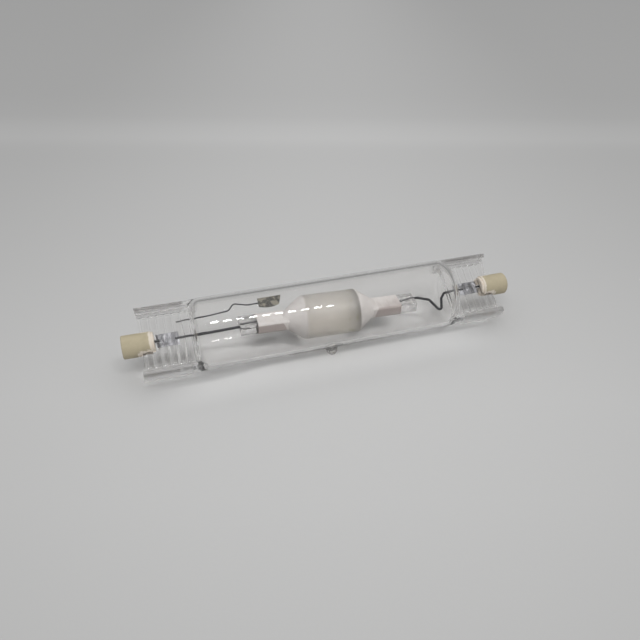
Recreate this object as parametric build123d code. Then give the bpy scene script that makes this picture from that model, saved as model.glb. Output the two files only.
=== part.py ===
from build123d import *
from math import asin, degrees
import os

# A double-ended quartz metal halide lamp, lying on a surface, in millimetres.
# It is modelled about its own axis and laid down at the end:
#   X runs along the lamp, Y across the flat of its seals, Z through their thickness.
# Pieces of the left end (-X) are named _left, and pieces of the right end (+X) _right.

# The lamp's length is a chain of sizes, from the arc tube outwards to the contacts.
# They add up to 132 mm between the two contact faces, this lamp's standard spacing.
LEAD_ROOM = 15.0
CONTACT_RECESS = 1.7

# Ceramic end caps and the cement that holds them
CAP_RADIUS = 3.8
CAP_LENGTH = 9.3
CAP_EDGE = 0.3
RECESS_RADIUS = 2.3
SLOT_WIDTH = 3.4
SLOT_DEPTH = 4.8
CEMENT_BEAD = 0.8
CEMENT_BEAD_INSET = 0.25
CEMENT_BEAD_ROUND = 0.45

# Contact buttons and the wires behind them
BUTTON_RADIUS = 1.9
BUTTON_HEAD = 0.8
BUTTON_FIT = 0.05
BUTTON_EDGE = 0.25
CONTACT_WIRE_RADIUS = 0.55
WIRE_HOLE_FIT = 0.05

# Outer jacket: the tube and its domed shoulders
JACKET_RADIUS = 12.0
JACKET_WALL = 1.3
SHOULDER_LENGTH = 4.2
SHOULDER_WALL = 1.2

# Press seals: a ribbed web between two rails of the tube's wall
PINCH_FROM_CAP_END = 5.2
PINCH_LENGTH = 16.7
PINCH_OVERLAP = 2.0
WEB_THICKNESS = 2.4
WEB_END_HOLLOW = 1.0
RAIL_INSET = 0.15
RAIL_WIDTH = 1.95
RAIL_HEIGHT = 7.2
RAIL_EDGE = 0.5
ROOT_RADIUS = 0.8
RIB_COUNT = 6
RIB_PITCH = 2.5
RIB_WIDTH = 2.2
RIB_HEIGHT = 0.42
RIB_END_GAP = 1.6
RIB_SIDE_GAP = 1.2

# Melted-off exhaust tip of the jacket, on which the lamp also lies
TIP_SHIFT = -0.3
TIP_PROUD = 2.4
TIP_RADIUS = 1.9
TIP_FLARE = 1.0
TIP_SINK = 0.3
TIP_BORE = 0.7
TIP_SEAL = 1.6

# How far the flat of the seals leans as the lamp lies, in degrees
LEAN = 33.7

# Foils in the jacket's seals
FOIL_LENGTH = 7.2
FOIL_WIDTH = 4.5
FOIL_THICKNESS = 0.08
FOIL_FROM_WEB_END = 4.4
FOIL_LAP = 1.1

# Leads between the jacket's foils and the arc tube: the kink takes up heat movement.
# Its points are (back from the shoulder, below the axis), each with its bend's radius.
LEAD_RADIUS = 0.45
KINK_POINTS = [(12.6, 0.0), (8.2, 1.6), (5.9, 5.7), (4.7, 5.7), (3.6, 1.9), (1.9, 0.0)]
KINK_RADII = [3.0, 1.2, 0.8, 0.8, 0.8, 1.0]

# Arc tube: it hangs on its leads a little off the lamp's axis and tilted, in the seals' plane,
# and is turned about its own axis so that its flat seals lie nearly level
ARC_SHIFT = 0.75
ARC_DROP = 0.4
ARC_TILT = 1.9
ARC_TURN = -30.0
ARC_RADIUS = 7.4
ARC_BARREL_HALF = 9.2
ARC_CONE_LENGTH = 6.8
ARC_CONE_ROUND = 3.0
ARC_NECK_RADIUS = 2.5
ARC_WALL = 1.1
ARC_CAVITY_PAST_BARREL = 3.2
ARC_SEAL_LENGTH = 14.8
ARC_SEAL_WIDTH = 6.6
ARC_SEAL_THICKNESS = 3.8
ARC_SEAL_EDGE = 0.7
ARC_SEAL_OVERLAP = 3.0

# White heat-reflecting coating on both ends of the arc tube
COATING_THICKNESS = 0.15
COATING_FROM_BARREL = 0.05
COATING_FROM_SEAL_END = 5.8

# Foils and electrodes in the arc tube's seals
ARC_FOIL_LENGTH = 8.0
ARC_FOIL_WIDTH = 2.0
ARC_FOIL_SETBACK = 1.6
ELECTRODE_RADIUS = 0.3
ELECTRODE_REACH = 5.0
COIL_TURNS = 5
COIL_WIRE_RADIUS = 0.18
COIL_FIT = 0.02
COIL_SETBACK = 0.5

# Fill of the arc tube, as it lies when cold
DOSE_ROUND = 7.0
DOSE_DEPTH = 0.25
DOSE_SHIFT = 4.2
BEAD_RADIUS = 0.65
BEAD_SHIFT = -3.2
BEAD_FIT = 0.02

# Getter: a plate on a wire that is held in the left seal.
# The wire's points are (in from the shoulder, in from the tube's inside), each bend with its radius.
GETTER_WIRE_RADIUS = 0.25
GETTER_POINTS = [(-4.2, 5.2), (1.2, 4.8), (6.5, 4.6), (13.2, 4.0), (15.4, 1.6), (19.8, 3.0), (26, 2.9)]
GETTER_RADII = [12.0, 12.0, 1.6, 1.2, 6.0]
GETTER_PLATE_LENGTH = 8.1
GETTER_PLATE_WIDTH = 3.25
GETTER_PLATE_SLANT = 1.1
GETTER_PLATE_BULGE = 0.7
GETTER_PLATE_THICKNESS = 0.3
GETTER_PLATE_LAP = 2.5

arc_bulb_half = ARC_BARREL_HALF + ARC_CONE_LENGTH
arc_cavity_half = ARC_BARREL_HALF + ARC_CAVITY_PAST_BARREL
arc_bore_radius = ARC_RADIUS - ARC_WALL
arc_end = arc_bulb_half + ARC_SEAL_LENGTH
arc_foil_inner = arc_bulb_half + ARC_FOIL_SETBACK
arc_foil_outer = arc_foil_inner + ARC_FOIL_LENGTH
electrode_tip = arc_cavity_half - ELECTRODE_REACH
shoulder_end = arc_end + LEAD_ROOM
tube_half = shoulder_end - SHOULDER_LENGTH
pinch_end = shoulder_end + PINCH_LENGTH
web_end = pinch_end - WEB_END_HOLLOW
cap_end = pinch_end + PINCH_FROM_CAP_END
cap_start = cap_end - CAP_LENGTH
slot_floor = cap_start + SLOT_DEPTH
contact_face = cap_end - CONTACT_RECESS
button_back = contact_face - BUTTON_HEAD
bore_radius = JACKET_RADIUS - JACKET_WALL
rail_radius = JACKET_RADIUS - RAIL_INSET
rail_inner = rail_radius - RAIL_WIDTH
foil_outer = web_end - FOIL_FROM_WEB_END
foil_inner = foil_outer - FOIL_LENGTH

# Where the arc tube's own middle and axis lie in the lamp
arc_place = Pos(ARC_SHIFT, -ARC_DROP, 0) * Rot(0, 0, -ARC_TILT) * Rot(ARC_TURN, 0, 0)

# The lamp lies on the tube and on its tip's round end, both at the same height.
tip_below_level = degrees(asin((JACKET_RADIUS - TIP_RADIUS) / (JACKET_RADIUS + TIP_PROUD - TIP_RADIUS)))


def bar(start, end, radius):
    """A round bar along the lamp from start to end."""
    return Pos(start, 0, 0) * extrude(Plane.YZ * Circle(radius), end - start)


def strip(start, end, width, thickness):
    """A flat strip along the lamp, in the plane of the seals."""
    return Pos((start + end) / 2, 0, 0) * Box(end - start, width, thickness)


def other_end(piece):
    """The piece of the left end that matches one of the right end."""
    return Rot(0, 0, 180) * piece


def lay(piece):
    """Turns a finished piece to its lean and sets the lamp down on the surface."""
    return Pos(0, 0, JACKET_RADIUS) * Rot(LEAN, 0, 0) * piece


def settled(piece):
    """Turns a piece in the arc tube so that its -Z side is the lowest once the lamp is laid down."""
    return Rot(-LEAN - ARC_TURN, 0, 0) * piece


def round_ended(half, radius, rounding):
    """A round bar of straight length 2 * half, with a rounding past it at either end."""
    whole = bar(-half - rounding, half + rounding, radius)
    return fillet(whole.edges().filter_by(GeomType.CIRCLE), rounding)


def pinch_section():
    """The press seal in section: a web between two rails of the tube's own wall."""
    channel = RectangleRounded(2 * rail_inner, RAIL_HEIGHT - WEB_THICKNESS, ROOT_RADIUS)
    section = Circle(rail_radius) & Rectangle(2 * rail_radius, RAIL_HEIGHT)
    for side in (-1, 1):
        section -= Pos(0, side * RAIL_HEIGHT / 2) * channel
    corners = [v for v in section.vertices() if abs(abs(v.Y) - RAIL_HEIGHT / 2) < 0.01]
    return fillet(corners, RAIL_EDGE)


def rib(centre, side):
    """One low round rib across the web, on its upper (side 1) or lower (side -1) face."""
    face = side * WEB_THICKNESS / 2
    left, right = centre - RIB_WIDTH / 2, centre + RIB_WIDTH / 2
    crown = ThreePointArc((left, face), (centre, face + side * RIB_HEIGHT), (right, face))
    foot = Polyline((right, face), (right, 0), (left, 0), (left, face))
    return extrude(Plane.XZ * make_face([crown, foot]), rail_inner - RIB_SIDE_GAP, both=True)


def pinch():
    """The right end's press seal, whose end is hollowed in an arc between the rail tips."""
    start = tube_half - PINCH_OVERLAP
    seal = Pos(start, 0, 0) * extrude(Plane.YZ * pinch_section(), pinch_end - start)
    for number in range(RIB_COUNT):
        centre = web_end - RIB_END_GAP - number * RIB_PITCH
        seal += [rib(centre, 1), rib(centre, -1)]
    hollow_radius = (rail_radius**2 + WEB_END_HOLLOW**2) / (2 * WEB_END_HOLLOW)
    return seal - Pos(web_end + hollow_radius, 0, 0) * Cylinder(hollow_radius, 2 * JACKET_RADIUS)


def exhaust_tip():
    """The melted-off stub of the jacket's exhaust tube, built along +Z from the axis."""
    foot = JACKET_RADIUS - TIP_SINK
    neck = foot + TIP_FLARE
    foot_radius = TIP_RADIUS + TIP_FLARE
    crown_centre = JACKET_RADIUS + TIP_PROUD - TIP_RADIUS
    flare = CenterArc((foot_radius, neck), TIP_FLARE, 180, 90)
    side = Line((TIP_RADIUS, neck), (TIP_RADIUS, crown_centre))
    crown = CenterArc((0, crown_centre), TIP_RADIUS, 0, 90)
    top = (0, crown_centre + TIP_RADIUS)
    core = Polyline(top, (0, bore_radius), (foot_radius, bore_radius), (foot_radius, foot))
    return revolve(Plane.XZ * make_face([flare, side, crown, core]), Axis.Z)


def at_tip(piece):
    """Moves a piece built along +Z to the exhaust tip's place round the jacket."""
    return Pos(TIP_SHIFT, 0, 0) * Rot(90 + tip_below_level - LEAN, 0, 0) * piece


def tip_channel():
    """What is left of the exhaust tube's bore, from the jacket's inside to the melted end."""
    start = bore_radius - JACKET_WALL
    end = JACKET_RADIUS + TIP_PROUD - TIP_SEAL
    return Pos(0, 0, start) * Cylinder(TIP_BORE, end - start, align=(Align.CENTER, Align.CENTER, Align.MIN))


def outer_jacket(sealed_in):
    """The quartz envelope, cut out round the metal pieces that are sealed into it."""
    seal = pinch()
    glass = round_ended(tube_half, JACKET_RADIUS, SHOULDER_LENGTH)
    glass += [seal, other_end(seal), at_tip(exhaust_tip())]
    glass -= round_ended(tube_half, bore_radius, SHOULDER_LENGTH - SHOULDER_WALL)
    glass -= at_tip(tip_channel())
    return glass - sealed_in


def end_cap():
    """The right end's ceramic cap: slotted over the web, with the contact's recess outside."""
    cap = bar(cap_start, cap_end, CAP_RADIUS)
    outer_edge = cap.edges().filter_by(GeomType.CIRCLE).sort_by(Axis.X)[-1]
    cap = chamfer(outer_edge, CAP_EDGE)
    cap -= strip(cap_start - CAP_LENGTH, slot_floor, 3 * CAP_RADIUS, SLOT_WIDTH)
    cap -= bar(contact_face, cap_end, RECESS_RADIUS)
    cap -= bar(button_back, contact_face, BUTTON_RADIUS + BUTTON_FIT)
    cap -= bar(slot_floor, button_back, CONTACT_WIRE_RADIUS + WIRE_HOLE_FIT)
    return cap


def contact_button():
    """The right end's contact: a disc with a rounded edge, let into the floor of the recess."""
    disc = bar(button_back, contact_face, BUTTON_RADIUS)
    return fillet(disc.edges().filter_by(GeomType.CIRCLE).sort_by(Axis.X)[-1], BUTTON_EDGE)


def cap_cement(wire):
    """The right end's cement: it fills the cap's slot and stands out as a bead at its lip."""
    bead_start = cap_start - CEMENT_BEAD
    bead = bar(bead_start, cap_start, CAP_RADIUS - CEMENT_BEAD_INSET)
    inner_edge = bead.edges().filter_by(GeomType.CIRCLE).sort_by(Axis.X)[0]
    bead = fillet(inner_edge, CEMENT_BEAD_ROUND)
    slot = strip(cap_start, slot_floor, 3 * CAP_RADIUS, SLOT_WIDTH)
    filling = slot & bar(cap_start, slot_floor, CAP_RADIUS)
    return bead + filling - pinch() - wire


def seal_foil():
    """The molybdenum foil in the right seal."""
    return strip(foil_inner, foil_outer, FOIL_WIDTH, FOIL_THICKNESS)


def contact_wire():
    """The right end's wire from the foil to the back of the contact, slit over the foil."""
    return bar(foil_outer - FOIL_LAP, button_back, CONTACT_WIRE_RADIUS) - seal_foil()


def wire_along(route, radius):
    """A round wire that follows a route from its start to its end."""
    start = Plane(origin=route @ 0, z_dir=route % 0)
    return sweep(start * Circle(radius), path=route)


def on_arc_axis(x):
    """The point of the lamp that lies on the arc tube's own axis, x from its middle."""
    return (arc_place * Pos(x, 0, 0)).position


def straight_lead():
    """The left lead, from the jacket's foil straight to the arc tube's foil."""
    route = Line((-foil_inner - FOIL_LAP, 0), on_arc_axis(FOIL_LAP - arc_foil_outer))
    wire = wire_along(route, LEAD_RADIUS)
    return wire - other_end(seal_foil()) - in_arc_tube(other_end(arc_foil()))


def kinked_lead():
    """The right lead, from the arc tube's foil by way of its kink to the jacket's foil."""
    ends = on_arc_axis(arc_foil_outer - FOIL_LAP), (foil_inner + FOIL_LAP, 0)
    kink = [(shoulder_end - back, -drop) for back, drop in KINK_POINTS]
    route = FilletPolyline(ends[0], *kink, ends[1], radius=KINK_RADII)
    return wire_along(route, LEAD_RADIUS) - seal_foil() - in_arc_tube(arc_foil())


def in_arc_tube(piece):
    """Moves a piece modelled about the arc tube's middle to its place in the lamp."""
    return arc_place * piece


def arc_body(grown):
    """The arc tube's outside, grown by a coating's thickness: a barrel, cones and seals."""
    half, radius = arc_bulb_half + grown, ARC_RADIUS + grown
    neck = ARC_NECK_RADIUS + grown
    top = Polyline((-half, neck), (-ARC_BARREL_HALF, radius), (ARC_BARREL_HALF, radius), (half, neck))
    outline = top + Polyline(top @ 1, (half, 0), (-half, 0), top @ 0)
    section = make_face(outline)
    joins = [corner for corner in section.vertices() if abs(corner.Y - radius) < 0.01]
    bulb = revolve(fillet(joins, ARC_CONE_ROUND + grown), Axis.X)
    width = ARC_SEAL_WIDTH + 2 * grown
    thickness = ARC_SEAL_THICKNESS + 2 * grown
    seal_section = Plane.YZ * RectangleRounded(width, thickness, ARC_SEAL_EDGE + grown)
    start = arc_bulb_half - ARC_SEAL_OVERLAP
    seal = Pos(start, 0, 0) * extrude(seal_section, arc_end - start)
    return bulb + [seal, other_end(seal)]


def arc_cavity():
    """The arc tube's inside, round at both ends."""
    straight_half = arc_cavity_half - arc_bore_radius
    inside = bar(-straight_half, straight_half, arc_bore_radius)
    return inside + [Pos(x, 0, 0) * Sphere(arc_bore_radius) for x in (-straight_half, straight_half)]


def arc_foil():
    """The foil in the arc tube's right seal."""
    return strip(arc_foil_inner, arc_foil_outer, ARC_FOIL_WIDTH, FOIL_THICKNESS)


def electrode():
    """The right tungsten shank, from its foil into the cavity."""
    return bar(electrode_tip, arc_foil_inner + FOIL_LAP, ELECTRODE_RADIUS) - arc_foil()


def electrode_coil():
    """The tungsten coil wound round the right shank, a little back from its tip."""
    pitch = 2 * COIL_WIRE_RADIUS + COIL_FIT
    radius = ELECTRODE_RADIUS + COIL_FIT + COIL_WIRE_RADIUS
    start = (electrode_tip + COIL_SETBACK + COIL_WIRE_RADIUS, 0, 0)
    turns = Helix(pitch, pitch * COIL_TURNS, radius, center=start, direction=(1, 0, 0))
    section = Plane(origin=turns @ 0, z_dir=turns % 0) * Circle(COIL_WIRE_RADIUS)
    return sweep(section, path=turns, is_frenet=True)


def arc_tube(sealed_in):
    """The quartz arc tube, cut out round the foils, leads and electrodes in its seals."""
    return in_arc_tube(arc_body(0) - arc_cavity()) - sealed_in


def heat_coating():
    """The white coating over the arc tube's right cone and most of its seal."""
    start = ARC_BARREL_HALF - COATING_FROM_BARREL
    end = arc_end - COATING_FROM_SEAL_END
    reach = 3 * ARC_RADIUS
    return (arc_body(COATING_THICKNESS) & strip(start, end, reach, reach)) - arc_body(0)


def halide_dose():
    """The salts, melted together into a low puddle on the cavity's lowest side."""
    depth = DOSE_ROUND - DOSE_DEPTH + arc_bore_radius
    puddle = Pos(DOSE_SHIFT, 0, -depth) * Sphere(DOSE_ROUND)
    return settled(puddle & arc_cavity())


def mercury_bead():
    """The mercury, gathered in one bead on the cavity's lowest side."""
    height = arc_bore_radius - BEAD_RADIUS - BEAD_FIT
    return settled(Pos(BEAD_SHIFT, 0, -height) * Sphere(BEAD_RADIUS))


def getter_wire():
    """The wire that carries the getter, from the left seal past the left lead."""
    points = [(inward - shoulder_end, bore_radius - below) for inward, below in GETTER_POINTS]
    return wire_along(FilletPolyline(*points, radius=GETTER_RADII), GETTER_WIRE_RADIUS)


def getter_plate():
    """The getter's plate, lapped over the end of its wire, with a slant end and a bulged edge."""
    wire_end, wire_below = GETTER_POINTS[-1]
    left = wire_end - shoulder_end - GETTER_PLATE_LAP
    right = left + GETTER_PLATE_LENGTH
    low = bore_radius - wire_below - GETTER_PLATE_WIDTH / 2
    high = low + GETTER_PLATE_WIDTH
    corner = right - GETTER_PLATE_SLANT
    edges = Polyline((left, low), (left, high), (right, high), (corner, low))
    bulge = ThreePointArc((corner, low), ((left + corner) / 2, low - GETTER_PLATE_BULGE), (left, low))
    plate = extrude(make_face([edges, bulge]), GETTER_PLATE_THICKNESS)
    return Pos(0, 0, GETTER_WIRE_RADIUS) * plate


def two_ended(pieces, place):
    """The right end's pieces and their left twins, each moved by place and named by its end."""
    named = {name + "_right": place(piece) for name, piece in pieces.items()}
    named.update({name + "_left": place(other_end(piece)) for name, piece in pieces.items()})
    return named


def lamp():
    """Every piece by name, about the lamp's own axis."""
    wire = contact_wire()
    jacket_ends = {
        "end_cap": end_cap(),
        "cap_cement": cap_cement(wire),
        "contact_button": contact_button(),
        "contact_wire": wire,
        "seal_foil": seal_foil(),
    }
    arc_tube_ends = {
        "heat_coating": heat_coating(),
        "arc_foil": arc_foil(),
        "electrode": electrode(),
        "electrode_coil": electrode_coil(),
    }
    parts = two_ended(jacket_ends, lambda piece: piece)
    parts.update(two_ended(arc_tube_ends, in_arc_tube))
    parts["straight_lead"] = straight_lead()
    parts["kinked_lead"] = kinked_lead()
    parts["getter_wire"] = getter_wire()
    parts["getter_plate"] = getter_plate()
    parts["halide_dose"] = in_arc_tube(halide_dose())
    parts["mercury_bead"] = in_arc_tube(mercury_bead())
    leads = ["straight_lead", "kinked_lead"]
    in_jacket = [*leads, "getter_wire", "seal_foil_left", "seal_foil_right"]
    in_jacket += ["contact_wire_left", "contact_wire_right"]
    in_arc = [*leads, "arc_foil_left", "arc_foil_right", "electrode_left", "electrode_right"]
    parts["outer_jacket"] = outer_jacket([parts[name] for name in in_jacket])
    parts["arc_tube"] = arc_tube([parts[name] for name in in_arc])
    return parts


os.makedirs("parts", exist_ok=True)
for node, piece in lamp().items():
    export_step(lay(piece), f"parts/{node}.step")
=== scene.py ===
import bmesh
import bpy
from bpy.props import FloatProperty, FloatVectorProperty, PointerProperty
from bpy.types import Operator, Panel, PropertyGroup
from math import cos, radians, sin, tau
from mathutils import Matrix, Vector


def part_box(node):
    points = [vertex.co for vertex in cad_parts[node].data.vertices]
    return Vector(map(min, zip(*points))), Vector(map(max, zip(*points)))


# Dresses a packed metal halide lamp in its materials, and sets its camera, light and floor.
# Everything is in metres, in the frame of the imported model.

bl_info = {
    "name": "Metal halide lamp",
    "version": (1, 0, 0),
    "blender": (4, 5, 0),
    "location": "View3D > Sidebar > Lamp",
    "description": "Finishes a double-ended metal halide lamp and sets a plain studio stage round it",
    "category": "Object",
}

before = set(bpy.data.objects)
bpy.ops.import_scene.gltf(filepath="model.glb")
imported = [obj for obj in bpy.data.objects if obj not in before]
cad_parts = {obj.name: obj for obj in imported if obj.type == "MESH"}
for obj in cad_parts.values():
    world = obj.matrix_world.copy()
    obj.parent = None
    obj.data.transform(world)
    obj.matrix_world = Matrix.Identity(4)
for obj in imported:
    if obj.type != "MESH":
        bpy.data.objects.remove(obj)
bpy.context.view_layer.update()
MM = 0.001
QUARTZ_IOR = 1.46

# Soft edges on the pieces: each pair is where a feature starts to show and where it shows in full.
# On the jacket and the caps, measured along the lamp from its middle
SHOULDER = (40 * MM, 45 * MM)
SEAL_START = (46.4 * MM, 47.6 * MM)
CAP_LIP = (59.3 * MM, 59.0 * MM)
SLOT_END = (62.6 * MM, 62.2 * MM)
# On the seals, measured from the lamp's axis across the web
WEB_SIDE = (9.4 * MM, 8.4 * MM)
GROOVE_END = (8.6 * MM, 7.6 * MM)
LOWER_WEB = (-4 * MM, -7 * MM)
RAIL_SIDE = (9.0 * MM, 9.8 * MM)
LOW_RAIL = (-9.0 * MM, -10.0 * MM)
# On the seals, measured from the lamp's axis square to the web
RAIL_FACE = (2.9 * MM, 3.5 * MM)
BESIDE_SLOT = (2.4 * MM, 2.2 * MM)
# Round the middle of the exhaust tip
TIP_REACH = (3.9 * MM, 3.1 * MM)
# On the arc tube, measured along the lamp from the tube's middle
FILM_END = (15 * MM, 13 * MM)
STAIN_START = (1 * MM, 7 * MM)
BARREL_RIM = (6.6 * MM, 9.0 * MM)
# Where the line of the coating's painted shade rises from the barrel to the seals
PAINTED_SHADE_SLOPE = (13.0 * MM, 17.0 * MM)
# Heights over what the lamp lies on, between which the arc tube's film is painted paler low down
FILM_BOTTOM = (14 * MM, 6 * MM)

# The jacket's relief, as shares of its ripples' depth
DRAWN_HEIGHT = 0.35
RIPPLE_HEIGHT = 0.6
CROWN_HEIGHT = 1.5
CRUMPLE_HEIGHT = 12.0
# How much of their painted shade the grooves keep above the lower part of the web
UPPER_GROOVE_SHARE = 0.3
# The low rails are a little dull
LOW_RAIL_ROUGHNESS = 0.32

SOOT_COLOUR = (0.3, 0.27, 0.25)
SALT_SKIN_COLOUR = (0.5, 0.5, 0.46)
FIBRE_COLOUR = (0.3, 0.3, 0.3)

# The light bands on the floor: how far past the lamp's middle, as the camera looks, and how pale there
FLOOR_BANDS = (
    (-0.107, 0.845), (-0.07, 0.92), (-0.03, 0.965), (0.075, 0.946), (0.172, 0.936), (0.19, 0.95),
    (0.208, 1.01), (0.229, 0.985), (0.251, 0.927), (0.3, 0.913), (0.41, 0.943), (0.68, 1.0),
)
# The light gathered on the floor in front of the lamp: its soft edges, and how much nearer to the camera
# its far edge lies at the lamp's left end
GATHERED_NEAR_EDGE = (-23.5 * MM, -8 * MM)
GATHERED_FAR_EDGE = (-6 * MM, -8.5 * MM)
GATHERED_ENDS = (66 * MM, 40 * MM)
LEFT_END = (-20 * MM, -42 * MM)
LEFT_END_SHIFT = 2.4 * MM
# Where the floor begins and ends to darken, to either side of the view's middle
FLOOR_FALL = (0.0, 0.2)

# The room's greys by height: 0 is straight below, 0.5 the horizon and 1 straight above
ROOM_GREYS = ((0.0, 0.5), (0.48, 0.42), (0.53, 0.22), (0.7, 0.3), (0.85, 0.65), (1.0, 0.85))

# The row of lamps whose reflections make the jacket's dashes: how many, and how much of the row is lit
ROW_COUNT = 10
LIT_SHARE = 0.6

# With fewer bounces the ribbed quartz turns black in places
GLASS_BOUNCES = 24
ALL_BOUNCES = 32


class Value:
    """A node's output: adding, multiplying and the like put Math nodes after it."""

    def __init__(self, nodes, socket):
        self.nodes = nodes
        self.socket = socket

    def math(self, operation, *values):
        return self.nodes.add("ShaderNodeMath", {"operation": operation}, dict(enumerate(values)))

    def cosine(self):
        return self.math("COSINE", self)

    def or_more(self, other):
        """This value, or the other where that is larger."""
        return self.math("MAXIMUM", self, other)

    def __add__(self, other):
        return self.math("ADD", self, other)

    def __radd__(self, other):
        return self.math("ADD", other, self)

    def __sub__(self, other):
        return self.math("SUBTRACT", self, other)

    def __rsub__(self, other):
        return self.math("SUBTRACT", other, self)

    def __mul__(self, other):
        return self.math("MULTIPLY", self, other)

    def __rmul__(self, other):
        return self.math("MULTIPLY", other, self)

    def __truediv__(self, other):
        return self.math("DIVIDE", self, other)

    def __pow__(self, other):
        return self.math("POWER", self, other)

    def __abs__(self):
        return self.math("ABSOLUTE", self)

    def rise(self, start, end, low=0.0, high=1.0):
        """Goes smoothly from low to high as this value goes from start to end."""
        settings = {"interpolation_type": "SMOOTHSTEP"}
        return self.nodes.add("ShaderNodeMapRange", settings, {0: self, 1: start, 2: end, 3: low, 4: high})


class Nodes:
    """A node tree, and short ways to add to it."""

    def __init__(self, tree):
        self.tree = tree
        tree.nodes.clear()

    def add(self, kind, settings, sockets, output=0):
        """Adds a node: its settings first, then its sockets' values or links."""
        node = self.tree.nodes.new(kind)
        for name, setting in settings.items():
            if name == "stops":
                self.set_stops(node.color_ramp, setting)
            else:
                setattr(node, name, setting)
        for name, value in sockets.items():
            self.feed(node.inputs[name], value)
        return Value(self, node.outputs[output])

    def feed(self, socket, value):
        """Links a socket to a value, or sets it: a colour's three numbers get full alpha."""
        if isinstance(value, Value):
            self.tree.links.new(value.socket, socket)
        elif socket.type == "RGBA":
            socket.default_value = (*value[:3], 1.0)
        else:
            socket.default_value = value

    def set_stops(self, ramp, stops):
        """Gives a colour ramp its stops, as a list of (place, colour)."""
        while len(ramp.elements) < len(stops):
            ramp.elements.new(0.5)
        for element, (place, colour) in zip(ramp.elements, stops):
            element.position = place
            element.color = (*colour, 1.0)

    def place(self):
        """The point on the object, in metres."""
        return self.add("ShaderNodeTexCoord", {}, {}, "Object")

    def along(self, point, axis):
        """One coordinate, "X", "Y" or "Z", of a point."""
        return self.add("ShaderNodeSeparateXYZ", {}, {0: point}, axis)

    def distance(self, point, place):
        """How far a point is from a place."""
        return self.add("ShaderNodeVectorMath", {"operation": "DISTANCE"}, {0: point, 1: place}, "Value")

    def stretched(self, point, scale):
        """The point scaled by a factor along each axis: a small factor draws a pattern out."""
        return self.add("ShaderNodeVectorMath", {"operation": "MULTIPLY"}, {0: point, 1: scale})

    def noise(self, point, size, detail=3.0, roughness=0.5):
        """Soft noise from 0 to 1, whose blots are about size metres wide."""
        sockets = {"Vector": point, "Scale": 1 / size, "Detail": detail, "Roughness": roughness}
        return self.add("ShaderNodeTexNoise", {}, sockets, "Fac")

    def cells(self, point, size):
        """The distance from the middles of cells about size metres wide."""
        return self.add("ShaderNodeTexVoronoi", {}, {"Vector": point, "Scale": 1 / size}, "Distance")

    def blend(self, factor, first, second):
        """A colour between two others."""
        sockets = {0: factor, 6: first, 7: second}
        return self.add("ShaderNodeMix", {"data_type": "RGBA"}, sockets, 2)

    def ramp(self, place, stops):
        """A colour that goes from one stop, (place, colour), to the next."""
        return self.add("ShaderNodeValToRGB", {"stops": stops}, {0: place})

    def bump(self, height, depth, strength=1.0):
        """A bumped normal from heights of 0 to 1, where 1 stands depth metres out."""
        return self.add("ShaderNodeBump", {}, {"Strength": strength, "Distance": depth, "Height": height})

    def surface(self, **sockets):
        """A Principled surface. Its sockets' names are written with _ for a space."""
        named = {name.replace("_", " "): value for name, value in sockets.items()}
        return self.add("ShaderNodeBsdfPrincipled", {}, named)

    def mix(self, factor, first, second):
        """A mix of two surfaces."""
        return self.add("ShaderNodeMixShader", {}, {0: factor, 1: first, 2: second})

    def lets_light_through(self, surface, tint, edge_tint):
        """Glass whose shadow is only a tint, so that the lamps reach inside, and deeper at its edges."""
        shadow = self.add("ShaderNodeLightPath", {}, {}, "Is Shadow Ray")
        slant = self.add("ShaderNodeLayerWeight", {}, {"Blend": 0.5}, "Facing")
        face_on = self.add("ShaderNodeBsdfTransparent", {}, {"Color": (tint,) * 3})
        edge_on = self.add("ShaderNodeBsdfTransparent", {}, {"Color": (edge_tint,) * 3})
        grazing = slant ** 3
        return self.mix(shadow * grazing, self.mix(shadow, surface, face_on), edge_on)

    def finish(self, surface, kind="ShaderNodeOutputMaterial"):
        """Ends the tree with a surface."""
        output = self.tree.nodes.new(kind)
        self.tree.links.new(surface.socket, output.inputs["Surface"])


def dress(names, material):
    """Gives CAD nodes a material in place of their packed one."""
    for name in names:
        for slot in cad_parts[name].material_slots:
            slot.material = material


def new_material(name):
    """A material, and its node tree, empty so far."""
    material = bpy.data.materials.new(name)
    material.use_nodes = True
    return material, Nodes(material.node_tree)


def both_ends(name):
    """The names of the piece's two nodes, one at each end of the lamp."""
    return [name + "_left", name + "_right"]


def shaded(colour, share):
    """A colour made darker by a share under 1, or paler by one over 1."""
    return tuple(part * share for part in colour)


def seal_axes(nodes, point, sizes):
    """How far a point is from the lamp's axis along the flat of the seals, and square to it."""
    y, z = nodes.along(point, "Y"), nodes.along(point, "Z") - sizes.axis_height
    lean = sizes.seal_lean
    return y * cos(lean) + z * sin(lean), z * cos(lean) - y * sin(lean)


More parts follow.
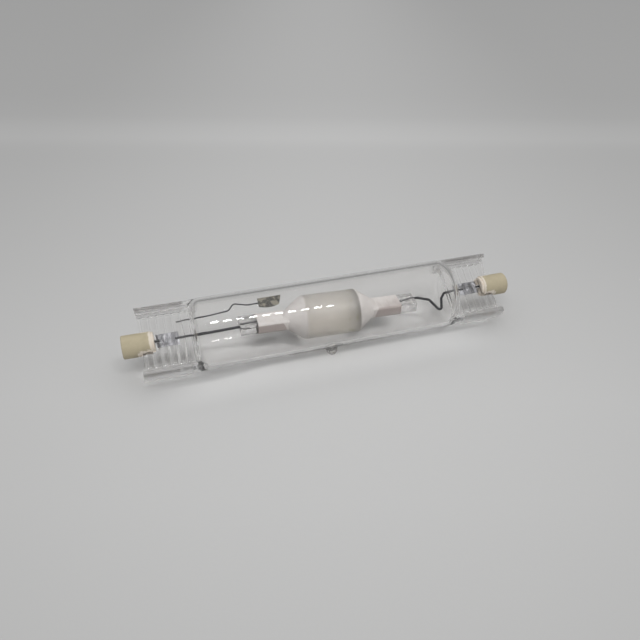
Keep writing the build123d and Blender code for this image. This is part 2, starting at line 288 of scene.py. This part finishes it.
def clear_quartz(sizes):
    """Clear quartz: drawn along the tube, ribbed at the pressed ends, crumpled at the melted tip, with
    shade painted between the ribs, along the rails' edges and in specks at the tip.
    """
    material, nodes = new_material("clear_quartz")
    point = nodes.place()
    from_middle = abs(nodes.along(point, "X"))
    across, off_web = seal_axes(nodes, point, sizes)
    pressed = from_middle.rise(*SHOULDER)
    flat = from_middle.rise(*SEAL_START)
    side = abs(across)
    web = side.rise(*WEB_SIDE) * flat
    low_rail = across.rise(*LOW_RAIL) * flat
    # Painted shade along the rails' edges
    rail_edges = side.rise(*RAIL_SIDE) * abs(off_web).rise(*RAIL_FACE) * flat
    melted = nodes.distance(point, sizes.tip_place).rise(*TIP_REACH)
    drawn = nodes.noise(nodes.stretched(point, (0.12, 1.0, 1.0)), 4 * MM, detail=1.0)
    ripples = nodes.noise(point, 2.2 * MM, detail=2.0)
    crumples = nodes.noise(point, 0.7 * MM, detail=2.0)
    # 1 along the crown of each rib and -1 between two of them
    crowns = ((from_middle - sizes.rib_first) * (tau / sizes.rib_pitch)).cosine() * web
    # Painted shade between the ribs, deepest on the lower web
    grooves = (0.5 * web - crowns * 0.5) * (0.4 + ripples) * side.rise(*GROOVE_END)
    grooves = grooves * across.rise(*LOWER_WEB, low=UPPER_GROOVE_SHARE)
    # Painted shade in specks at the melted tip
    speckles = crumples.rise(0.5, 0.56) * melted
    shade = grooves * sizes.groove_shade + rail_edges * sizes.rail_edge_shade + speckles * sizes.tip_shade
    relief = drawn * (1 - pressed) * DRAWN_HEIGHT + ripples * web * RIPPLE_HEIGHT
    relief = relief + crowns * CROWN_HEIGHT + crumples * melted * CRUMPLE_HEIGHT
    quartz = nodes.surface(
        Base_Color=nodes.blend(shade, sizes.quartz_colour, sizes.painted_shade_colour),
        Roughness=low_rail * LOW_RAIL_ROUGHNESS,
        IOR=QUARTZ_IOR,
        Transmission_Weight=1.0,
        Normal=nodes.bump(relief, sizes.quartz_ripple),
    )
    nodes.finish(nodes.lets_light_through(quartz, sizes.quartz_shade, sizes.quartz_edge_shade))
    return material


def frosted_quartz(sizes):
    """The arc tube's quartz: a milky film in its barrel, painted paler low down and with painted shade at
    its right end; clear at the ends of its seals, with smudges of painted shade.
    """
    material, nodes = new_material("frosted_quartz")
    point = nodes.place()
    from_arc_middle = nodes.along(point, "X") - sizes.arc_middle
    barrel = abs(from_arc_middle).rise(*FILM_END)
    # Painted light: the film is made paler low in the arc tube, as if lit through from below, with random
    # clouds
    low = nodes.along(point, "Z").rise(*FILM_BOTTOM)
    clouds = nodes.noise(point, 3.5 * MM, detail=4.0)
    film = nodes.blend(low * 0.8 + clouds * 0.25, sizes.film_colour, sizes.film_painted_light_colour)
    stain = nodes.noise(point, 2.0 * MM).rise(0.5, 0.72) * from_arc_middle.rise(*STAIN_START)
    film = nodes.blend(stain * 0.4, film, sizes.salt_colour)
    # Painted shade at the barrel's right end
    painted_rim_shade = from_arc_middle.rise(*BARREL_RIM)
    film = nodes.blend(painted_rim_shade * 0.3, film, sizes.film_rim_shade_colour)
    grain = nodes.noise(point, 0.12 * MM, detail=2.0)
    milk = nodes.surface(
        Base_Color=film,
        Roughness=0.42,
        Normal=nodes.bump(grain, 0.01 * MM, strength=0.6),
        IOR=QUARTZ_IOR,
        Transmission_Weight=sizes.film_clearness,
    )
    ripples = nodes.noise(point, 1.4 * MM, detail=2.0)
    # Painted shade in the clear seals, in dark smudges
    painted_seal_shade = nodes.noise(nodes.stretched(point, (0.5, 1.0, 1.0)), 1.2 * MM, detail=2.0).rise(0.48, 0.62)
    quartz = nodes.surface(
        Base_Color=nodes.blend(painted_seal_shade * 0.5, sizes.quartz_colour, sizes.painted_shade_colour),
        Roughness=0.02,
        IOR=QUARTZ_IOR,
        Transmission_Weight=1.0,
        Normal=nodes.bump(ripples, 0.3 * MM),
    )
    density = barrel * (sizes.film_density + clouds * 0.12)
    surface = nodes.mix(density, quartz, milk)
    nodes.finish(nodes.lets_light_through(surface, sizes.film_shade, sizes.film_edge_shade))
    return material


def cap_ceramic(sizes, quartz_sizes):
    """Matte beige steatite: a fine fired grain, a few pores, and cement smeared on its lip and slot."""
    material, nodes = new_material("cap_ceramic")
    point = nodes.place()
    mottle = nodes.noise(point, 2.5 * MM)
    pores = nodes.cells(point, 0.45 * MM).rise(0.16, 0.05) * nodes.noise(point, 1.1 * MM).rise(0.5, 0.7)
    # Darker in a random mottle, and with painted shade in the pores
    specks = mottle.rise(0.35, 0.75) * 0.3 + pores * 0.6
    colour = nodes.blend(specks, sizes.cap_colour, shaded(sizes.cap_colour, 0.72))
    _, off_web = seal_axes(nodes, point, quartz_sizes)
    uneven = (nodes.noise(point, 0.8 * MM) - 0.5) * 1.4 * MM
    from_middle = abs(nodes.along(point, "X")) + uneven
    lip = from_middle.rise(*CAP_LIP)
    beside_slot = (abs(off_web) + uneven).rise(*BESIDE_SLOT) * from_middle.rise(*SLOT_END)
    colour = nodes.blend(lip.or_more(beside_slot) * 0.9, colour, sizes.cement_colour)
    grain = nodes.noise(point, 0.16 * MM, roughness=0.6)
    normal = nodes.bump(grain * 0.5 - pores * 0.8, 0.05 * MM)
    roughness = mottle.rise(0.3, 0.7, 0.62, 0.78)
    nodes.finish(nodes.surface(Base_Color=colour, Roughness=roughness, Normal=normal))
    return material


def cement(sizes):
    """Cream cement, set rough and crumbly."""
    material, nodes = new_material("cement")
    point = nodes.place()
    crumbs = nodes.cells(point, 0.4 * MM)
    clouds = nodes.noise(point, 0.9 * MM, detail=4.0, roughness=0.6)
    warm = tuple(part * share for part, share in zip(sizes.cement_colour, (0.93, 0.87, 0.8)))
    colour = nodes.blend(clouds.rise(0.4, 0.7) * 0.7, sizes.cement_colour, warm)
    normal = nodes.bump(crumbs * 0.6 + clouds * 0.7, 0.12 * MM)
    nodes.finish(nodes.surface(Base_Color=colour, Roughness=0.9, Normal=normal))
    return material


def white_coating(sizes):
    """White zirconia paste, fired, with painted shade making it darker and pinker underneath, below a line
    that rises from the barrel to the seals.
    """
    material, nodes = new_material("white_coating")
    point = nodes.place()
    from_arc_middle = abs(nodes.along(point, "X") - sizes.arc_middle)
    brushed = nodes.noise(nodes.stretched(point, (1.0, 0.25, 0.25)), 0.7 * MM)
    patches = nodes.noise(point, 3.0 * MM, detail=2.0)
    # Painted shade: below this line, which rises from the barrel to the seals, the coating is darkened and
    # turned pink
    painted_shade_line = from_arc_middle.rise(*PAINTED_SHADE_SLOPE, sizes.coating_painted_shade_middle, sizes.coating_painted_shade_end)
    over_line = nodes.along(point, "Z") - painted_shade_line + (brushed - 0.5) * 0.6 * MM
    underneath = over_line.rise(0.35 * MM, -0.35 * MM)
    colour = nodes.blend(patches.rise(0.4, 0.7) * 0.15, sizes.coating_colour, sizes.coating_thin_and_shade_colour)
    colour = nodes.blend(underneath * 0.85, colour, sizes.coating_thin_and_shade_colour)
    specks = nodes.cells(point, 0.8 * MM).rise(0.1, 0.04) * brushed.rise(0.5, 0.6)
    colour = nodes.blend(specks * 0.4, colour, SOOT_COLOUR)
    grain = nodes.noise(point, 0.14 * MM, detail=2.0)
    normal = nodes.bump(brushed * 0.7 + grain * 0.4, 0.05 * MM)
    nodes.finish(nodes.surface(Base_Color=colour, Roughness=0.85, Normal=normal))
    return material


def contact_metal(sizes):
    """Nickel plate on the contact, tarnished, and scuffed by the lampholder's pin."""
    material, nodes = new_material("contact_metal")
    point = nodes.place()
    scuffs = nodes.noise(nodes.stretched(point, (1.0, 1.0, 5.0)), 0.5 * MM, detail=4.0, roughness=0.6)
    tarnish = nodes.noise(point, 0.9 * MM).rise(0.45, 0.75)
    colour = nodes.blend(tarnish * 0.6, sizes.contact_colour, shaded(sizes.contact_colour, 0.6))
    roughness = scuffs.rise(0.3, 0.7, 0.22, 0.42)
    normal = nodes.bump(scuffs, 0.01 * MM)
    nodes.finish(nodes.surface(Base_Color=colour, Metallic=1.0, Roughness=roughness, Normal=normal))
    return material


def drawn_wire(name, colour, roughness):
    """Drawn wire: fine lines along it and a dull oxide in patches."""
    material, nodes = new_material(name)
    point = nodes.place()
    lines = nodes.noise(nodes.stretched(point, (0.08, 1.0, 1.0)), 0.15 * MM, detail=2.0)
    oxide = nodes.noise(point, 1.3 * MM).rise(0.42, 0.68)
    patchy = nodes.blend(oxide * 0.7, colour, shaded(colour, 0.55))
    rough = roughness + oxide * 0.18
    normal = nodes.bump(lines, 0.012 * MM)
    nodes.finish(nodes.surface(Base_Color=patchy, Metallic=1.0, Roughness=rough, Normal=normal))
    return material


def foil(sizes):
    """Thin molybdenum foil, wrinkled as the hot quartz closed on it, with painted shade making it darker
    at the right end.
    """
    material, nodes = new_material("foil")
    point = nodes.place()
    creases = nodes.noise(nodes.stretched(point, (1.0, 0.35, 0.35)), 0.9 * MM, roughness=0.55)
    puckers = nodes.cells(point, 1.2 * MM)
    bars = nodes.noise(nodes.stretched(point, (1.0, 0.2, 0.2)), 1.6 * MM, detail=1.0).rise(0.45, 0.6)
    # Painted shade on the foils at the right end
    painted_shade_right = nodes.along(point, "X").rise(-1 * MM, 1 * MM)
    colour = nodes.blend(bars * 0.55 + painted_shade_right * 0.5, sizes.foil_colour, shaded(sizes.foil_colour, 0.3))
    normal = nodes.bump(creases + puckers * 0.4, sizes.foil_wrinkle)
    nodes.finish(nodes.surface(Base_Color=colour, Metallic=1.0, Roughness=0.34, Normal=normal))
    return material


def getter(sizes):
    """The getter's sintered coat on its strip: dark, mottled and dull."""
    material, nodes = new_material("getter")
    point = nodes.place()
    mottle = nodes.noise(point, 1.7 * MM, roughness=0.55)
    colour = nodes.blend(mottle.rise(0.48, 0.56), sizes.getter_colour, shaded(sizes.getter_colour, 5))
    grains = nodes.noise(point, 0.1 * MM, detail=2.0)
    normal = nodes.bump(grains * 0.4 + mottle, 0.12 * MM)
    nodes.finish(nodes.surface(Base_Color=colour, Metallic=0.4, Roughness=0.55, Normal=normal))
    return material


def halide(sizes):
    """Metal halide salts, melted together and set glassy."""
    material, nodes = new_material("halide")
    point = nodes.place()
    clots = nodes.cells(point, 0.5 * MM)
    clouds = nodes.noise(point, 0.8 * MM)
    pale = tuple(part * 0.5 + 0.4 for part in sizes.salt_colour)
    colour = nodes.blend(clouds, sizes.salt_colour, pale)
    normal = nodes.bump(clots + clouds, 0.12 * MM)
    nodes.finish(nodes.surface(Base_Color=colour, Roughness=0.3, Normal=normal))
    return material


def mercury(sizes):
    """Liquid metal, with a faint skin of salt."""
    material, nodes = new_material("mercury")
    point = nodes.place()
    skin = nodes.noise(point, 0.5 * MM).rise(0.5, 0.75)
    colour = nodes.blend(skin * 0.4, sizes.mercury_colour, SALT_SKIN_COLOUR)
    roughness = 0.04 + skin * 0.3
    normal = nodes.bump(skin, 0.01 * MM)
    nodes.finish(nodes.surface(Base_Color=colour, Metallic=1.0, Roughness=roughness, Normal=normal))
    return material


def camera_axes(sizes):
    """The camera's right, up and forward directions."""
    yaw, pitch, roll = sizes.camera_yaw, sizes.camera_pitch, sizes.camera_roll
    forward = Vector((sin(yaw) * cos(pitch), cos(yaw) * cos(pitch), -sin(pitch)))
    level = Vector((cos(yaw), -sin(yaw), 0.0))
    steep = level.cross(forward)
    right = level * cos(roll) + steep * sin(roll)
    up = steep * cos(roll) - level * sin(roll)
    return right, up, forward


def set_camera(sizes):
    """Puts the camera where it looks down on the lamp from the front, a little from the left."""
    right, up, forward = camera_axes(sizes)
    data = bpy.data.cameras.new("camera")
    data.lens = sizes.camera_lens
    data.sensor_width = 36.0
    data.clip_start = 0.005
    data.clip_end = 20.0
    camera = bpy.data.objects.new("camera", data)
    turn = Matrix((right, up, -forward)).transposed().to_4x4()
    camera.matrix_world = Matrix.Translation(sizes.camera_place) @ turn
    bpy.context.scene.collection.objects.link(camera)
    bpy.context.scene.camera = camera


def aimed_lamp(name, place, length, width, power):
    """A rectangular lamp that faces the middle of the stage, its length as near as can be along +X."""
    data = bpy.data.lights.new(name, "AREA")
    data.shape = "RECTANGLE"
    data.size = length
    data.size_y = width
    data.energy = power
    lamp = bpy.data.objects.new(name, data)
    back = Vector(place).normalized()
    side = (Vector((1.0, 0.0, 0.0)) - back * back.x).normalized()
    turn = Matrix((side, back.cross(side), back)).transposed().to_4x4()
    lamp.matrix_world = Matrix.Translation(place) @ turn
    bpy.context.scene.collection.objects.link(lamp)
    return lamp


def hang_lamps(sizes):
    """The lamps on the camera's side: a soft one, and a row of small ones for the long highlight."""
    soft = aimed_lamp("soft_lamp", sizes.soft_place, sizes.soft_size, sizes.soft_size, sizes.soft_power)
    soft.visible_glossy = False
    soft.visible_transmission = False
    start, end = Vector(sizes.row_start), Vector(sizes.row_end)
    row = end - start
    length = LIT_SHARE * row.x / ROW_COUNT
    for number in range(ROW_COUNT):
        place = start + row * ((number + 0.5) / ROW_COUNT)
        aimed_lamp(f"row_lamp_{number}", place, length, sizes.row_width, sizes.row_lamp_power)


def floor_mesh(radius):
    """A round floor whose edge lies far beyond the view."""
    mesh = bpy.data.meshes.new("floor")
    work = bmesh.new()
    bmesh.ops.create_circle(work, cap_ends=True, segments=96, radius=radius)
    work.to_mesh(mesh)
    work.free()
    return mesh


def gathered_light(x, y):
    """Where on the floor the quartz gathers light in front of the lamp, from 0 to 1."""
    shifted = y + x.rise(*LEFT_END) * LEFT_END_SHIFT
    return y.rise(*GATHERED_NEAR_EDGE) * shifted.rise(*GATHERED_FAR_EDGE) * abs(x).rise(*GATHERED_ENDS)


def pale_floor(sizes):
    """Pale grey card, with soft light bands across the view, darker to both sides of it."""
    material, nodes = new_material("pale_floor")
    point = nodes.place()
    yaw = sizes.camera_yaw
    x, y = nodes.along(point, "X"), nodes.along(point, "Y")
    away = x * sin(yaw) + y * cos(yaw)
    aside = x * cos(yaw) - y * sin(yaw)
    near = FLOOR_BANDS[0][0]
    depth = FLOOR_BANDS[-1][0] - near
    bands = [((place - near) / depth, shaded(sizes.floor_colour, pale)) for place, pale in FLOOR_BANDS]
    colour = nodes.ramp((away - near) / depth, bands)
    colour = nodes.blend(gathered_light(x, y), colour, shaded(sizes.floor_colour, sizes.gathered_share))
    colour = nodes.blend(abs(aside).rise(*FLOOR_FALL) * 0.16, colour, (0.0, 0.0, 0.0))
    fibres = nodes.noise(point, 1.2 * MM)
    colour = nodes.blend(fibres * 0.02, colour, FIBRE_COLOUR)
    normal = nodes.bump(fibres, 0.02 * MM)
    nodes.finish(nodes.surface(Base_Color=colour, Roughness=0.7, Normal=normal, Specular_IOR_Level=0.3))
    return material


def soft_world(sizes):
    """A pale room: brighter overhead, darker near the horizon, plain where the camera sees it."""
    world = bpy.data.worlds.new("pale_room")
    world.use_nodes = True
    bpy.context.scene.world = world
    nodes = Nodes(world.node_tree)
    direction = nodes.add("ShaderNodeTexCoord", {}, {}, "Generated")
    height = nodes.along(direction, "Z") * 0.5 + 0.5
    room = nodes.ramp(height, [(place, (grey,) * 3) for place, grey in ROOM_GREYS])
    seen = nodes.add("ShaderNodeLightPath", {}, {}, "Is Camera Ray")
    colour = nodes.blend(seen, room, sizes.horizon_colour)
    strength = seen * (1 - sizes.room_light) + sizes.room_light
    nodes.finish(nodes.add("ShaderNodeBackground", {}, {0: colour, 1: strength}), "ShaderNodeOutputWorld")


def build_stage(sizes):
    """Sets the camera, the pale room, the floor and the lamps."""
    set_camera(sizes)
    soft_world(sizes)
    floor = bpy.data.objects.new("floor", floor_mesh(sizes.floor_radius))
    floor.data.materials.append(pale_floor(sizes))
    bpy.context.scene.collection.objects.link(floor)
    hang_lamps(sizes)


class QuartzSizes(PropertyGroup):
    """Sizes and colours of the jacket and of the arc tube with its film, coatings and salts."""

    quartz_colour: FloatVectorProperty(
        name="Quartz colour", description="Tint of the clear quartz",
        default=(0.98, 0.975, 0.97), subtype="COLOR",
    )
    # Painted shade on the quartz: between the ribs, along the rails' edges, in the tip's specks and in the
    # arc tube's clear seals
    painted_shade_colour: FloatVectorProperty(
        name="Smudge colour", description="Colour of the quartz where it is shaded or smudged",
        default=(0.36, 0.34, 0.33), subtype="COLOR",
    )
    quartz_shade: FloatProperty(
        name="Quartz shade", description="Share of the light that a wall of the jacket lets through",
        default=0.96, subtype="FACTOR",
    )
    quartz_edge_shade: FloatProperty(
        name="Quartz edge shade", description="The same share where the light grazes the wall",
        default=0.12, subtype="FACTOR",
    )
    quartz_ripple: FloatProperty(
        name="Quartz ripple", description="Depth of the ripples in the jacket",
        default=0.05 * MM, unit="LENGTH",
    )
    axis_height: FloatProperty(
        name="Axis height", description="Height of the lamp's axis",
        default=(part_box("outer_jacket")[0].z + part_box("outer_jacket")[1].z) / 2, unit="LENGTH",
    )
    seal_lean: FloatProperty(
        name="Seal lean", description="How far the flat of the seals leans",
        default=radians(33.7), unit="ROTATION",
    )
    rib_first: FloatProperty(
        name="First rib", description="How far the outermost rib's crown is from the lamp's middle",
        default=60.9 * MM, unit="LENGTH",
    )
    rib_pitch: FloatProperty(
        name="Rib pitch", description="From one rib of the seals to the next",
        default=2.5 * MM, unit="LENGTH",
    )
    groove_shade: FloatProperty(
        name="Groove shade", description="How dark the quartz is between the ribs",
        default=0.6, subtype="FACTOR",
    )
    rail_edge_shade: FloatProperty(
        name="Rail edge shade", description="How dark the quartz is at the rails' edges",
        default=0.6, subtype="FACTOR",
    )
    tip_place: FloatVectorProperty(
        name="Exhaust tip", description="Where the melted tip is",
        default=(-0.3 * MM, -8.7 * MM, 2.4 * MM), subtype="XYZ", unit="LENGTH",
    )
    tip_shade: FloatProperty(
        name="Tip shade", description="How dark the specks in the melted tip are",
        default=0.3, subtype="FACTOR",
    )
    arc_middle: FloatProperty(
        name="Arc tube's middle", description="Where the arc tube's middle lies along the lamp",
        default=(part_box("arc_tube")[0].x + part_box("arc_tube")[1].x) / 2, unit="LENGTH",
    )
    film_density: FloatProperty(
        name="Film density", description="How much of the arc tube's barrel the film covers",
        default=0.8, subtype="FACTOR",
    )
    film_clearness: FloatProperty(
        name="Film clearness", description="How much of the light goes through the film itself",
        default=0.7, subtype="FACTOR",
    )
    film_shade: FloatProperty(
        name="Film shade", description="Share of the light that a wall of the arc tube lets through",
        default=0.93, subtype="FACTOR",
    )
    film_edge_shade: FloatProperty(
        name="Film edge shade", description="The same share where the light grazes the wall",
        default=0.85, subtype="FACTOR",
    )
    film_colour: FloatVectorProperty(
        name="Film colour", description="Colour of the arc tube's film",
        default=(0.74, 0.71, 0.67), subtype="COLOR",
    )
    # Painted light: the film's colour low in the arc tube, paler as if lit through from below
    film_painted_light_colour: FloatVectorProperty(
        name="Low film colour", description="Colour of the film low in the arc tube",
        default=(0.96, 0.92, 0.86), subtype="COLOR",
    )
    # Colour of the shade painted at the barrel's right end
    film_rim_shade_colour: FloatVectorProperty(
        name="Film rim colour", description="Colour of the film at the barrel's right end",
        default=(0.2, 0.19, 0.17), subtype="COLOR",
    )
    salt_colour: FloatVectorProperty(
        name="Salt colour", description="Colour of the halide salts",
        default=(0.48, 0.47, 0.2), subtype="COLOR",
    )
    coating_colour: FloatVectorProperty(
        name="Coating colour", description="Colour of the heat-reflecting coating",
        default=(0.66, 0.63, 0.61), subtype="COLOR",
    )
    # Used for thin patches of coating and for the shade painted underneath
    coating_thin_and_shade_colour: FloatVectorProperty(
        name="Thin coating colour", description="Colour of the coating where it is thin, underneath",
        default=(0.4, 0.34, 0.32), subtype="COLOR",
    )
    # Heights below which shade is painted on the coating, at the barrel and at the seals
    coating_painted_shade_middle: FloatProperty(
        name="Coating's edge at the barrel", description="Height over which the coating is thick there",
        default=3.5 * MM, unit="LENGTH",
    )
    coating_painted_shade_end: FloatProperty(
        name="Coating's edge at the seals", description="Height over which the coating is thick there",
        default=13.3 * MM, unit="LENGTH",
    )


class MetalSizes(PropertyGroup):
    """Sizes and colours of the caps, the cement and the metal pieces."""

    cap_colour: FloatVectorProperty(
        name="Cap colour", description="Colour of the ceramic end caps",
        default=(0.49, 0.43, 0.3), subtype="COLOR",
    )
    cement_colour: FloatVectorProperty(
        name="Cement colour", description="Colour of the caps' cement",
        default=(0.78, 0.71, 0.62), subtype="COLOR",
    )
    contact_colour: FloatVectorProperty(
        name="Contact colour", description="Colour of the plated contacts",
        default=(0.6, 0.59, 0.56), subtype="COLOR",
    )
    lead_colour: FloatVectorProperty(
        name="Lead colour", description="Colour of the leads and of the getter's wire",
        default=(0.05, 0.05, 0.055), subtype="COLOR",
    )
    foil_colour: FloatVectorProperty(
        name="Foil colour", description="Colour of the seals' foils",
        default=(0.52, 0.52, 0.55), subtype="COLOR",
    )
    foil_wrinkle: FloatProperty(
        name="Foil wrinkle", description="Depth of the foils' wrinkles",
        default=0.25 * MM, unit="LENGTH",
    )
    tungsten_colour: FloatVectorProperty(
        name="Tungsten colour", description="Colour of the electrodes",
        default=(0.3, 0.3, 0.31), subtype="COLOR",
    )
    getter_colour: FloatVectorProperty(
        name="Getter colour", description="Colour of the getter's plate",
        default=(0.05, 0.046, 0.036), subtype="COLOR",
    )
    mercury_colour: FloatVectorProperty(
        name="Mercury colour", description="Colour of the mercury bead",
        default=(0.78, 0.78, 0.8), subtype="COLOR",
    )


class StageSizes(PropertyGroup):
    """Sizes and colours of the camera, the lamps, the room and the floor."""

    camera_place: FloatVectorProperty(
        name="Camera place", description="Where the camera stands",
        default=(-0.054747, -0.170462, 0.135272), subtype="XYZ", unit="LENGTH", precision=6,
    )
    camera_yaw: FloatProperty(
        name="Camera yaw", description="Turn from +Y towards +X",
        default=radians(17.109), unit="ROTATION",
    )
    camera_pitch: FloatProperty(
        name="Camera pitch", description="Angle below level",
        default=radians(35.183), unit="ROTATION",
    )
    camera_roll: FloatProperty(
        name="Camera roll", description="Turn round the view",
        default=radians(0.212), unit="ROTATION",
    )
    camera_lens: FloatProperty(
        name="Lens", description="Focal length in millimetres",
        default=35.80, unit="CAMERA",
    )
    floor_radius: FloatProperty(
        name="Floor radius", description="Radius of the floor",
        default=6.0, unit="LENGTH",
    )
    floor_colour: FloatVectorProperty(
        name="Floor colour", description="Colour of the floor far behind the lamp",
        default=(0.625, 0.625, 0.622), subtype="COLOR",
    )
    gathered_share: FloatProperty(
        name="Gathered light", description="How much paler the floor is where the quartz gathers light",
        default=1.27, min=1.0,
    )
    horizon_colour: FloatVectorProperty(
        name="Horizon colour", description="What the camera sees beyond the floor",
        default=(0.45, 0.45, 0.45), subtype="COLOR",
    )
    room_light: FloatProperty(
        name="Room light", description="Strength of the light all round",
        default=0.98,
    )
    row_start: FloatVectorProperty(
        name="Row start", description="One end of the row of lamps",
        default=(0.028, -0.389, 0.929), subtype="XYZ", unit="LENGTH",
    )
    row_end: FloatVectorProperty(
        name="Row end", description="The other end of the row of lamps",
        default=(0.264, -0.535, 0.803), subtype="XYZ", unit="LENGTH",
    )
    row_width: FloatProperty(
        name="Row width", description="Width of each lamp in the row",
        default=0.06, unit="LENGTH",
    )
    row_lamp_power: FloatProperty(
        name="Row lamp power", description="Power of each lamp in the row, in watts",
        default=0.14, unit="POWER",
    )
    soft_place: FloatVectorProperty(
        name="Soft lamp place", description="Where the soft lamp hangs",
        default=(-0.25, -0.53, 0.8), subtype="XYZ", unit="LENGTH",
    )
    soft_size: FloatProperty(
        name="Soft lamp size", description="Side of the soft lamp",
        default=0.5, unit="LENGTH",
    )
    soft_power: FloatProperty(
        name="Soft lamp power", description="Power of the soft lamp, in watts",
        default=2.6, unit="POWER",
    )


class LAMP_OT_outer_jacket(Operator):
    """Gives the outer jacket its clear quartz"""

    bl_idname = "lamp.outer_jacket"
    bl_label = "Outer jacket"

    def execute(self, context):
        dress(["outer_jacket"], clear_quartz(context.scene.lamp_quartz))
        return {"FINISHED"}


class LAMP_OT_end_caps(Operator):
    """Gives the end caps their ceramic and their cement"""

    bl_idname = "lamp.end_caps"
    bl_label = "End caps and cement"

    def execute(self, context):
        sizes = context.scene.lamp_metal
        dress(both_ends("end_cap"), cap_ceramic(sizes, context.scene.lamp_quartz))
        dress(both_ends("cap_cement"), cement(sizes))
        return {"FINISHED"}


class LAMP_OT_contacts(Operator):
    """Gives the contacts their nickel"""

    bl_idname = "lamp.contacts"
    bl_label = "Contacts"

    def execute(self, context):
        dress(both_ends("contact_button"), contact_metal(context.scene.lamp_metal))
        return {"FINISHED"}


class LAMP_OT_leads(Operator):
    """Gives the leads and the contacts' wires their drawn molybdenum"""

    bl_idname = "lamp.leads"
    bl_label = "Leads and contact wires"

    def execute(self, context):
        wire = drawn_wire("molybdenum", context.scene.lamp_metal.lead_colour, roughness=0.3)
        dress([*both_ends("contact_wire"), "straight_lead", "kinked_lead"], wire)
        return {"FINISHED"}


class LAMP_OT_foils(Operator):
    """Gives the seals' foils their wrinkles"""

    bl_idname = "lamp.foils"
    bl_label = "Foils in the seals"

    def execute(self, context):
        dress([*both_ends("seal_foil"), *both_ends("arc_foil")], foil(context.scene.lamp_metal))
        return {"FINISHED"}


class LAMP_OT_arc_tube(Operator):
    """Gives the arc tube its filmed quartz and its white coatings"""

    bl_idname = "lamp.arc_tube"
    bl_label = "Arc tube and coatings"

    def execute(self, context):
        sizes = context.scene.lamp_quartz
        dress(["arc_tube"], frosted_quartz(sizes))
        dress(both_ends("heat_coating"), white_coating(sizes))
        return {"FINISHED"}


class LAMP_OT_electrodes(Operator):
    """Gives the electrodes and their coils their tungsten"""

    bl_idname = "lamp.electrodes"
    bl_label = "Electrodes"

    def execute(self, context):
        tungsten = drawn_wire("tungsten", context.scene.lamp_metal.tungsten_colour, roughness=0.36)
        dress([*both_ends("electrode"), *both_ends("electrode_coil")], tungsten)
        return {"FINISHED"}


class LAMP_OT_getter(Operator):
    """Gives the getter its dark plate and its wire"""

    bl_idname = "lamp.getter"
    bl_label = "Getter"

    def execute(self, context):
        sizes = context.scene.lamp_metal
        dress(["getter_plate"], getter(sizes))
        dress(["getter_wire"], drawn_wire("getter_wire", sizes.lead_colour, roughness=0.4))
        return {"FINISHED"}


class LAMP_OT_fill(Operator):
    """Gives the arc tube's salts and mercury their finish"""

    bl_idname = "lamp.fill"
    bl_label = "Salts and mercury"

    def execute(self, context):
        dress(["halide_dose"], halide(context.scene.lamp_quartz))
        dress(["mercury_bead"], mercury(context.scene.lamp_metal))
        return {"FINISHED"}


class LAMP_OT_stage(Operator):
    """Sets the camera, the pale room, the floor and the lamps"""

    bl_idname = "lamp.stage"
    bl_label = "Stage"

    def execute(self, context):
        build_stage(context.scene.lamp_stage)
        return {"FINISHED"}


STEPS = (
    LAMP_OT_outer_jacket,
    LAMP_OT_end_caps,
    LAMP_OT_contacts,
    LAMP_OT_leads,
    LAMP_OT_foils,
    LAMP_OT_arc_tube,
    LAMP_OT_electrodes,
    LAMP_OT_getter,
    LAMP_OT_fill,
    LAMP_OT_stage,
)
GROUPS = {"lamp_quartz": QuartzSizes, "lamp_metal": MetalSizes, "lamp_stage": StageSizes}


class LAMP_PT_sidebar(Panel):
    """The lamp's sizes and colours, and the steps that dress it"""

    bl_label = "Metal halide lamp"
    bl_space_type = "VIEW_3D"
    bl_region_type = "UI"
    bl_category = "Lamp"

    def draw(self, context):
        for group, kind in GROUPS.items():
            for name in kind.__annotations__:
                self.layout.prop(getattr(context.scene, group), name)
        for step in STEPS:
            self.layout.operator(step.bl_idname)


def register():
    for kind in (*GROUPS.values(), *STEPS, LAMP_PT_sidebar):
        bpy.utils.register_class(kind)
    for group, kind in GROUPS.items():
        setattr(bpy.types.Scene, group, PointerProperty(type=kind))


def unregister():
    for group in GROUPS:
        delattr(bpy.types.Scene, group)
    for kind in (LAMP_PT_sidebar, *reversed(STEPS), *GROUPS.values()):
        bpy.utils.unregister_class(kind)


def main():
    register()
    for step in STEPS:
        getattr(bpy.ops.lamp, step.bl_idname.split(".")[1])()
    bpy.context.scene.view_settings.view_transform = "Standard"
    bpy.context.scene.cycles.glossy_bounces = GLASS_BOUNCES
    bpy.context.scene.cycles.transmission_bounces = GLASS_BOUNCES
    bpy.context.scene.cycles.max_bounces = ALL_BOUNCES


if __name__ == "__main__":
    main()
